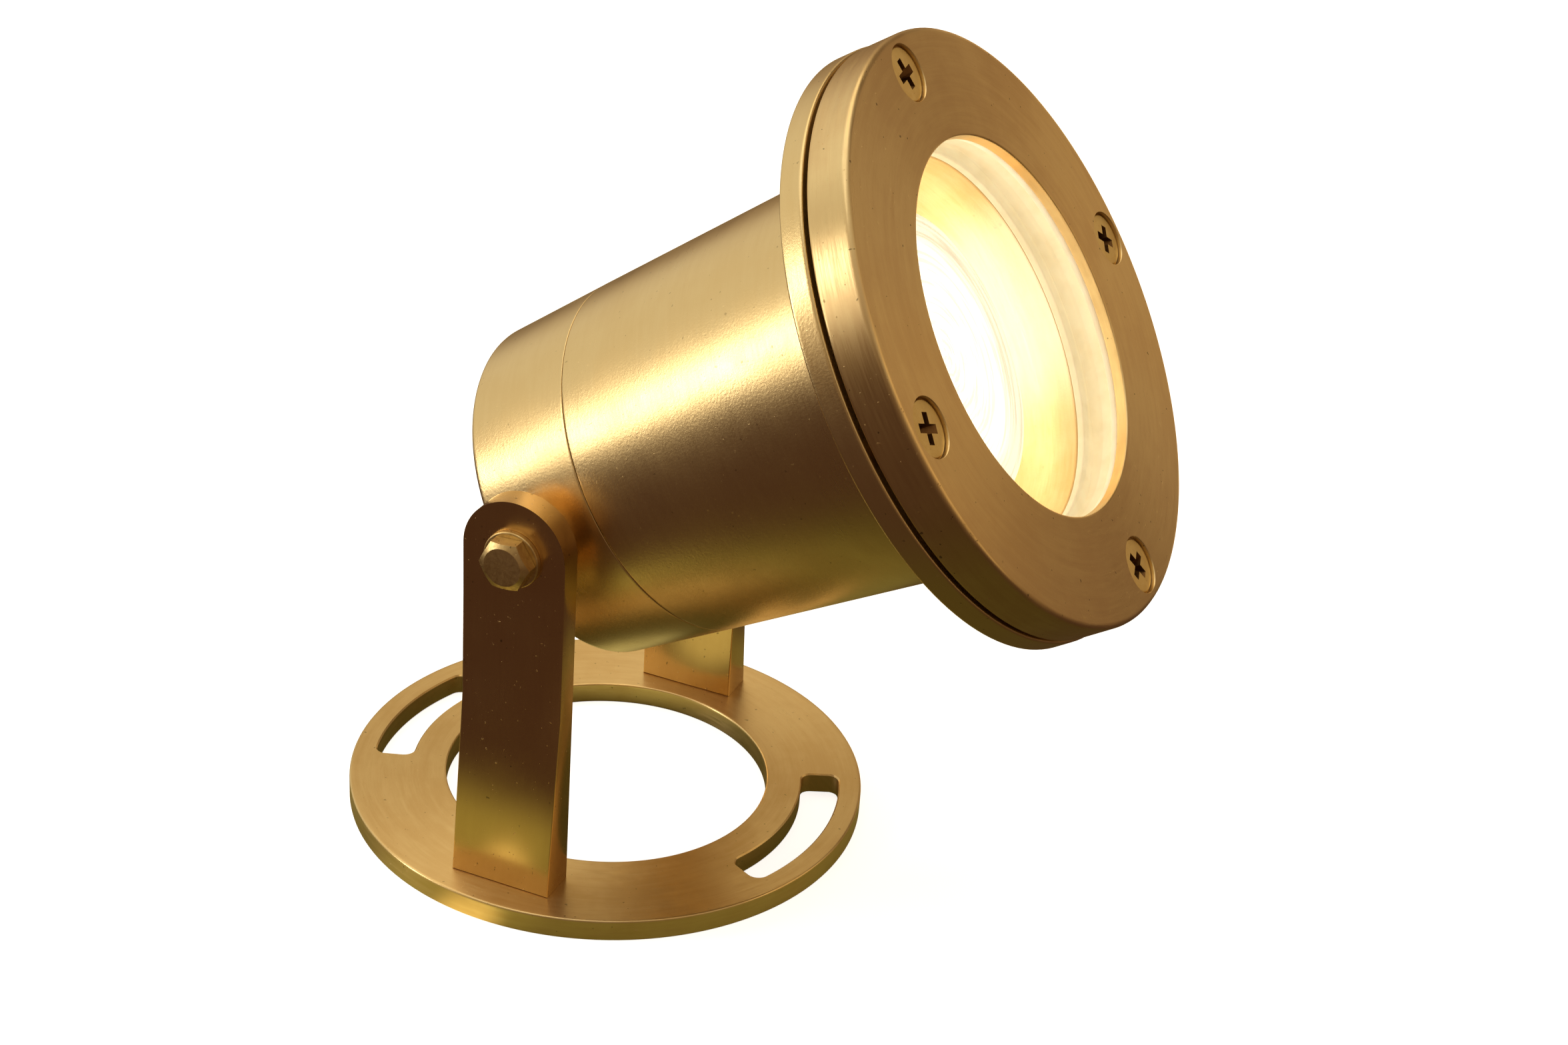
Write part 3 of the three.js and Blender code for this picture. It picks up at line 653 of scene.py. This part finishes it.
# The gasket's glow is painted lamp light on the silicone.
silicone = dielectric("gasket_silicone_painted_glow", (0.86, 0.78, 0.58), (0.80, 0.71, 0.50), 0.45, 1.5, 6.0, glow=0.34)
black_rubber = dielectric("black_rubber", (0.022, 0.021, 0.020), (0.035, 0.033, 0.030), 0.62, 3.0, 12.0)
ceramic = dielectric("socket_ceramic", (0.86, 0.83, 0.76), (0.78, 0.74, 0.66), 0.6, 2.5, 10.0)
lead_sleeve = dielectric("lead_sleeve", (0.88, 0.87, 0.83), (0.80, 0.79, 0.74), 0.5, 4.0, 8.0)
splice_nylon = dielectric("splice_nylon", (0.72, 0.60, 0.40), (0.66, 0.53, 0.34), 0.42, 3.0, 6.0, coat=0.2)
steel = metal("plated_steel", (0.62, 0.62, 0.63), 0.28)
lens_clear = clear_glass("lens_clear", (0.985, 0.99, 0.98), 0.02, mirrored=False)
lens_front = clear_glass("lens_front", (0.985, 0.99, 0.98), 0.03, mirrored=True)
lamp_front = glowing("lamp_front", (1.0, 0.93, 0.76), 1.7, 0.55, 1.6, rim=(17.0, 22.0, 0.5))
lamp_mirror = glowing("lamp_mirror", (1.0, 0.93, 0.74), 2.4, 0.8, 0.8)
lamp_filament = glowing("lamp_filament", (1.0, 0.92, 0.74), 25.0, 0.9, 0.5)

# ---------- Fasteners ----------


def recess(size):
    """The two crossed, tapering blades of a cross recess, opening towards +X at station 0."""
    blades = []
    for turn in (0, 90):
        half, tip, thin = size["wings"] / 2, size["blade"] * 0.4, size["blade"] / 2
        bm = bmesh.new()
        corners = [(1.0, half * 1.35), (0.0, half), (-size["depth"], tip)]
        outline = corners + [(x, -y) for x, y in reversed(corners)]
        sides = []
        for side in (1, -1):
            level = [(x, y, side * thin * (1 + BLADE_TAPER * x)) for x, y in outline]
            sides.append([bm.verts.new((x * MM, y * MM, z * MM)) for x, y, z in level])
        bm.faces.new(sides[0])
        bm.faces.new(sides[1][::-1])
        for i in range(len(outline)):
            j = (i + 1) % len(outline)
            bm.faces.new((sides[0][i], sides[0][j], sides[1][j], sides[1][i]))
        blades.append(moved(from_bmesh("blade", bm), turn=turn))
    return blades


def countersunk(name, size):
    """A countersunk screw with the top of its head at station 0."""
    shank, head, length = size["shank"], size["head"], size["length"]
    cone_end = -HEAD_RIM - (head - shank)
    profile = [
        (0, 0),
        (0.0, head, 0.16),
        (-HEAD_RIM, head, 0.08),
        (cone_end, shank, 0.3),
        (0.6 - length, shank, 0.1),
        (-length, shank * 0.8, 0.05),
        (-length, 0),
    ]
    screw = turned(name, profile, FINE, closed=False)
    carve(screw, *recess(size))
    screw.data.materials.append(screw_brass)
    screw.data.materials.append(recess_shade_brass)
    # Faces inside the recess take the dark painted-shade brass.
    for face in screw.data.polygons:
        x = face.center.x / MM
        radius = math.hypot(face.center.y, face.center.z) / MM
        within = radius < 0.98 * size["wings"] / 2 + 0.3 * x
        face.material_index = int(-size["depth"] - 0.05 < x < -0.03 and within)
    return screw


def countersink(size, play):
    """The hole for a countersunk screw, with a softened mouth."""
    top, hole, sunk = size["head"] + play, size["shank"] + play, size["sunk"]
    cone_end = -sunk - HEAD_RIM - (size["head"] - size["shank"])
    end = -size["length"] - 3
    profile = [
        (1, 0),
        (1, top + 1.1),
        (0.0, top + 0.1),
        (-0.14, top),
        (-sunk - HEAD_RIM, top),
        (cone_end, hole),
        (end, hole),
        (end, 0),
    ]
    return turned("countersink", profile, FINE, closed=False)


def screw_place(angle):
    return SCREW_CIRCLE * math.sin(math.radians(angle)), SCREW_CIRCLE * math.cos(math.radians(angle))


# ---------- Bracket ----------


def slot_cutter(middle, half_angle):
    """A curved slot with rounded corners, centred on an angle, with rims that flare at both faces."""
    outer, inner = SLOT_CIRCLE + SLOT_WIDTH / 2, SLOT_CIRCLE - SLOT_WIDTH / 2
    far, near = outer - SLOT_CORNER, inner + SLOT_CORNER
    far_end = half_angle - math.degrees(math.asin(SLOT_CORNER / far))
    near_end = half_angle - math.degrees(math.asin(SLOT_CORNER / near))
    levels = [
        (-1.0, 1.0),
        (0.0, SLOT_RIM),
        (SLOT_RIM, 0.0),
        (RING_THICK - SLOT_RIM, 0.0),
        (RING_THICK, SLOT_RIM),
        (RING_THICK + 1, 1.0),
    ]
    bm = bmesh.new()
    loops = []
    for height, flare in levels:
        reach = SLOT_CORNER + flare
        arcs = [
            (0, 0, outer + flare, -far_end, far_end, 24),
            (far, far_end, reach, far_end, half_angle + 90, 6),
            (near, near_end, reach, half_angle + 90, near_end + 180, 6),
            (0, 0, inner - flare, near_end, -near_end, 24),
            (near, -near_end, reach, 180 - near_end, 270 - half_angle, 6),
            (far, -far_end, reach, -half_angle - 90, -far_end, 6),
        ]
        loop = []
        for distance, way, radius, start, stop, steps in arcs:
            for k in range(1, steps + 1):
                centre = math.radians(middle + way)
                angle = math.radians(middle + start + (stop - start) * k / steps)
                y = distance * math.sin(centre) + radius * math.sin(angle)
                z = distance * math.cos(centre) + radius * math.cos(angle)
                loop.append(bm.verts.new((height * MM, y * MM, z * MM)))
        loops.append(loop)
    bm.faces.new(loops[0])
    bm.faces.new(loops[-1][::-1])
    for near_loop, far_loop in zip(loops, loops[1:]):
        for i in range(len(near_loop)):
            j = (i + 1) % len(near_loop)
            bm.faces.new((near_loop[i], near_loop[j], far_loop[j], far_loop[i]))
    return from_bmesh("slot", bm)


def add_ring():
    profile = [
        (0.0, 29.5, 0.3),
        (0.0, 47.0, 0.3),
        (RING_THICK, 47.0, 0.35),
        (RING_THICK, 29.5, 0.3),
    ]
    ring = turned("mounting_ring_piece", profile)
    cutters = [slot_cutter(*slot) for slot in SLOTS]
    for side in (-1, 1):
        for end in (-1, 1):
            hole = countersink(ARM_SCREW, GAP)
            hole.data.transform(Matrix.Rotation(math.pi, 4, "Y"))
            cutters.append(moved(hole, 0, side * FOOT_SCREW_Y, end * FOOT_SCREW_X))
    carve(ring, *cutters)
    settle(ring, "bracket", STAND @ UPRIGHT, ring_brass, "ring_brass", "mounting_ring")


def add_arm(label, side):
    """A flat bar with a round top, built with X outwards. Its foot swells outwards below the flare's top."""
    half = ARM_WIDTH / 2
    crown = ARM_TOP - half
    foot = RING_THICK + 0.02
    outline = [(-half, foot), (half, foot), (half, FLARE_TOP)]
    for k in range(41):
        angle = math.pi * k / 40
        outline.append((half * math.cos(angle), crown + half * math.sin(angle)))
    outline.append((-half, FLARE_TOP))
    slope = (ARM_FOOT - ARM_OUTER) / (FLARE_TOP - foot)
    bm = bmesh.new()
    inside = [bm.verts.new((ARM_INNER * MM, y * MM, z * MM)) for y, z in outline]
    outside = []
    for y, z in outline:
        x = ARM_OUTER + slope * max(0.0, FLARE_TOP - z)
        outside.append(bm.verts.new((x * MM, y * MM, z * MM)))
    bm.faces.new(inside)
    bm.faces.new([outside[-1]] + outside[2:-1])
    bm.faces.new([outside[0], outside[1], outside[2], outside[-1]])
    for i in range(len(outline)):
        j = (i + 1) % len(outline)
        bm.faces.new((inside[i], inside[j], outside[j], outside[i]))
    bend = {outside[2], outside[-1]}
    rims = [e for e in bm.edges if len({v in inside for v in e.verts}) == 1 and set(e.verts) != bend]
    bmesh.ops.bevel(bm, geom=rims, offset=ARM_EDGE * MM, segments=3, affect="EDGES", profile=0.5)
    arm = from_bmesh(f"{label}_arm_piece", bm)
    holes = [moved(rod("hole", ARM_INNER - 2, ARM_OUTER + 2, 2.7), z=pivot.z / MM)]
    for end in (-1, 1):
        drill = rod("hole", 0, ARM_SCREW["length"] + 1, ARM_SCREW["shank"] + GAP, 24)
        drill.data.transform(UPRIGHT)
        holes.append(moved(drill, FOOT_SCREW_Y, end * FOOT_SCREW_X))
    carve(arm, *holes)
    sideways = Matrix.Rotation(side * math.pi / 2, 4, "Z")
    settle(arm, "bracket", STAND @ sideways, arm_brass, "arm_brass", f"{label}_arm")
    upwards = Matrix.Rotation(math.pi / 2, 4, "Y")
    for end, where in ((-1, "rear"), (1, "front")):
        name = f"arm_screw_{label}_{where}"
        screw = countersunk(f"{name}_piece", ARM_SCREW)
        foot_place = Vector((end * FOOT_SCREW_X, side * FOOT_SCREW_Y, ARM_SCREW["sunk"]))
        place = STAND @ Matrix.Translation(foot_place * MM) @ upwards
        settle(screw, "bracket", place, screw_brass, "screw_brass", name)


# ---------- Head: housings, bezel and lens ----------


def add_barrel():
    """The front barrel, from the seam to the flange. Its inside carries a painted glow for the lamp's light."""
    profile = [
        (13.8, 28.6),
        (13.8, 31.4, 0.14),
        (70.8, 35.1, 1.5),
        (70.8, 49.7, 0.4),
        (74.9, 49.7, 0.4),
        (74.9, 36.0, 0.1),
        (72.9, 36.0),
        (72.9, 31.8, 0.2),
        (20.2, 28.9),
        (20.2, 28.6),
    ]
    barrel = turned("lamp_housing_piece", profile)
    barrel.data.materials.append(body_brass)
    barrel.data.materials.append(inner_brass_painted_glow)
    # Inner faces near the lamp take the brass with the painted lamp glow.
    for face in barrel.data.polygons:
        radius = math.hypot(face.center.y, face.center.z) / MM
        face.material_index = int(radius < LIT_RADIUS and face.center.x / MM > LIT_FROM)
    holes = []
    for angle, _ in SCREWS.values():
        y, z = screw_place(angle)
        holes.append(moved(rod("hole", 66, 80, BEZEL_SCREW["shank"] + 0.15), y=y, z=z))
    carve(barrel, *holes)
    settle(barrel, "head", HEAD, body_brass, "housing_brass", "lamp_housing")


def add_rear_can():
    """The rear can: closed end with the gland hole, and a spot-faced flat on each side for the pivot."""
    profile = [
        (-7.5, 8.05, 0.1),
        (-7.5, 29.9, 0.9),
        (13.66, 31.38, 0.14),
        (13.66, 28.3),
        (14.3, 28.3),
        (14.3, 27.1),
        (16.3, 27.1),
        (16.3, 28.3),
        (19.5, 28.3, 0.2),
        (19.5, 23.0, 0.2),
        (-2.5, 23.0, 1.0),
        (-2.5, 8.05),
    ]
    can = turned("rear_housing_piece", profile)
    cutters = []
    up, along = PIVOT_ABOVE * math.cos(tilt), PIVOT_ABOVE * math.sin(tilt)
    for side in (-1, 1):
        cutters.append(moved(aimed(rod("flat", BOSS_FLAT, BOSS_FLAT + 5, 7.2), side), along, 0, up))
        cutters.append(moved(aimed(rod("hole", BOLT_TIP - 0.4, BOSS_FLAT + 1, 2.7, 32), side), along, 0, up))
        cutters.append(moved(rod("hole", 14, 20, 1.5, 24), y=side * 25.4))
    carve(can, *cutters)
    settle(can, "head", HEAD, body_brass, "housing_brass", "rear_housing")


def add_bezel():
    profile = [
        (75.6, 36.0, 0.1),
        (75.6, 49.5, 0.4),
        (BEZEL_FRONT, 49.5, 0.8),
        (BEZEL_FRONT, 31.4, 0.25),
        (80.8, 31.4, 0.15),
        (80.8, 36.0),
    ]
    bezel = turned("bezel_piece", profile)
    holes = []
    for angle, _ in SCREWS.values():
        y, z = screw_place(angle)
        holes.append(moved(countersink(BEZEL_SCREW, GAP), BEZEL_FRONT, y, z))
    carve(bezel, *holes)
    settle(bezel, "head", HEAD, bezel_brass, "bezel_brass", "bezel")
    for name, (angle, turn) in SCREWS.items():
        y, z = screw_place(angle)
        screw = countersunk(f"bezel_screw_{name}_piece", BEZEL_SCREW)
        place = Matrix.Translation(((BEZEL_FRONT - BEZEL_SCREW["sunk"]) * MM, y * MM, z * MM))
        spin = Matrix.Rotation(math.radians(turn), 4, "X")
        settle(screw, "head", HEAD @ place @ spin, screw_brass, "screw_brass", f"bezel_screw_{name}")


def add_lens():
    gasket_profile = [
        (72.95, 31.9, 0.3),
        (72.95, 35.6, 0.3),
        (80.5, 35.6, 0.3),
        (80.5, 31.9, 0.45),
        (79.4, 31.9, 0.3),
        (79.4, 34.6, 0.1),
        (74.3, 34.6, 0.1),
        (74.3, 31.9, 0.3),
    ]
    gasket = turned("lens_gasket_piece", gasket_profile)
    settle(gasket, "head", HEAD, silicone, "silicone", "lens_gasket")
    lens_profile = [(74.6, 0), (74.6, 34.3, 0.4), (LENS_FRONT, 34.3, 0.4), (LENS_FRONT, 0)]
    lens = turned("lens_glass_piece", lens_profile, closed=False)
    lens.data.materials.append(lens_clear)
    lens.data.materials.append(lens_front)
    for face in lens.data.polygons:
        face.material_index = int(face.center.x / MM > LENS_FRONT - 0.05)
    settle(lens, "head", HEAD, lens_clear, "lens_glass", "lens_glass")


# ---------- Head: pivot hardware ----------


def add_pivot(label, side):
    outwards = PIVOT @ Matrix.Rotation(side * math.pi / 2, 4, "Z")
    under_head = 39.3
    length = under_head - BOLT_TIP
    corner = BOLT_ACROSS / math.sqrt(3)
    profile = [
        (2.8, 0),
        (2.8, corner - 1.3, 0.12),
        (2.05, corner + 0.02),
        (0.0, corner + 0.3),
        (0.0, 2.5),
        (0.6 - length, 2.5),
        (-length, 2.0),
        (-length, 0),
    ]
    bolt = turned(f"pivot_bolt_{label}_piece", profile, FINE, closed=False)
    carve(bolt, prism("hexagon", hexagon(BOLT_ACROSS), -30, 10), operation="INTERSECT")
    shift = Matrix.Translation((under_head * MM, 0, 0))
    settle(bolt, "head", outwards @ shift, bolt_brass, "screw_brass", f"pivot_bolt_{label}", crease=20)
    washer_profile = [(38.22, 2.7), (38.22, 5.0, 0.12), (39.26, 5.0, 0.25), (39.26, 2.7)]
    washer = turned(f"pivot_washer_{label}_piece", washer_profile, FINE)
    settle(washer, "head", outwards, bolt_brass, "screw_brass", f"pivot_washer_{label}")
    spacer_profile = [(29.22, 2.7), (29.22, 6.9, 0.25), (33.66, 6.9, 0.25), (33.66, 2.7)]
    spacer = turned(f"pivot_spacer_{label}_piece", spacer_profile, 96)
    settle(spacer, "head", outwards, body_brass, "housing_brass", f"pivot_spacer_{label}")


# ---------- Head: lamp ----------


def add_lamp():
    shell = [
        (42.9, 5.2),
        (42.9, 9.0, 0.5),
        (45.6, 11.6),
        (49.1, 15.9),
        (53.6, 20.0),
        (58.6, 23.0),
        (63.2, 24.6),
        (63.6, 25.3, 0.15),
        (65.5, 25.3, 0.3),
        (65.5, 23.7, 0.2),
        (62.6, 23.1),
        (57.6, 20.9),
        (52.1, 16.9),
        (47.6, 12.0),
        (44.4, 5.2),
    ]
    reflector = turned("lamp_reflector_piece", shell)
    settle(reflector, "head", HEAD, lamp_mirror, "lamp_mirror", "lamp_reflector", crease=40)
    cover = [(65.8, 0), (65.8, 25.0, 0.2), (67.0, 25.0, 0.5), (67.0, 23.6), (66.85, 23.3), (66.85, 0)]
    glass = turned("lamp_cover_glass_piece", cover, closed=False)
    settle(glass, "head", HEAD, lamp_front, "lamp_glass", "lamp_cover_glass")
    bulb = [(42.9, 0), (42.9, 4.2, 0.3), (53.1, 4.3, 2.0), (56.4, 3.6, 1.0), (58.4, 1.9, 0.8), (59.0, 0)]
    capsule = turned("lamp_capsule_piece", bulb, FINE, closed=False)
    settle(capsule, "head", HEAD, lamp_filament, "lamp_glow", "lamp_capsule")


# ---------- Head: cable gland ----------


def add_gland():
    body_profile = [
        (-16.6, 5.6),
        (-16.6, 7.0, 0.2),
        (-12.8, 7.0),
        (-12.8, 12.0),
        (-9.2, 12.0),
        (-9.2, 8.0),
        (-3.0, 8.0, 0.3),
        (-3.0, 4.6),
        (-10.6, 4.6),
        (-10.6, 5.6),
    ]
    body = turned("gland_body_piece", body_profile, 96)
    carve(body, prism("hexagon", hexagon(GLAND_ACROSS), -20, 0), operation="INTERSECT")
    settle(body, "head", HEAD, screw_brass, "screw_brass", "gland_body")
    corner = GLAND_NUT_ACROSS / math.sqrt(3)
    nut_profile = [
        (-20.4, 4.4, 0.2),
        (-20.4, 7.6, 0.5),
        (-18.8, 9.2, 0.8),
        (-17.4, corner + 0.02),
        (-13.7, corner + 0.02),
        (-13.1, corner - 0.6),
        (-13.1, 7.3),
        (-17.0, 7.3),
        (-19.0, 4.4),
    ]
    nut = turned("gland_nut_piece", nut_profile, 96)
    carve(nut, prism("hexagon", hexagon(GLAND_NUT_ACROSS), -24, -10), operation="INTERSECT")
    settle(nut, "head", HEAD, screw_brass, "screw_brass", "gland_nut", crease=20)
    seal_profile = [(-10.9, 3.5, 0.2), (-10.9, 5.3), (-16.6, 5.3), (-18.7, 4.1), (-18.7, 3.5, 0.25)]
    seal = turned("gland_seal_piece", seal_profile, FINE)
    settle(seal, "head", HEAD, black_rubber, "black_rubber", "gland_seal")
    washer_profile = [(-8.9, 8.3), (-8.9, 10.2, 0.3), (-7.8, 10.2, 0.3), (-7.8, 8.3)]
    washer = turned("gland_washer_piece", washer_profile, 96)
    settle(washer, "head", HEAD, black_rubber, "black_rubber", "gland_washer")


add_ring()
for arm_label, arm_side in (("right", -1), ("left", 1)):
    add_arm(arm_label, arm_side)
    add_pivot(arm_label, arm_side)
add_barrel()
add_rear_can()
add_bezel()
add_lens()
add_lamp()
add_gland()

# ---------- The frame's own sealed inner pieces ----------

INNER = {
    "housing_oring": black_rubber,
    "lamp_base": ceramic,
    "lamp_socket": ceramic,
    "socket_strap": steel,
}
for label in ("right", "left"):
    INNER[f"lamp_pin_{label}"] = steel
    INNER[f"socket_contact_{label}"] = steel
    INNER[f"strap_screw_{label}"] = steel
    INNER[f"socket_screw_{label}"] = steel
    INNER[f"socket_lead_{label}"] = lead_sleeve
    INNER[f"lead_splice_{label}"] = splice_nylon
for node, material in INNER.items():
    slots = frame["nodes"][node].material_slots
    for slot in slots:
        slot.material = material
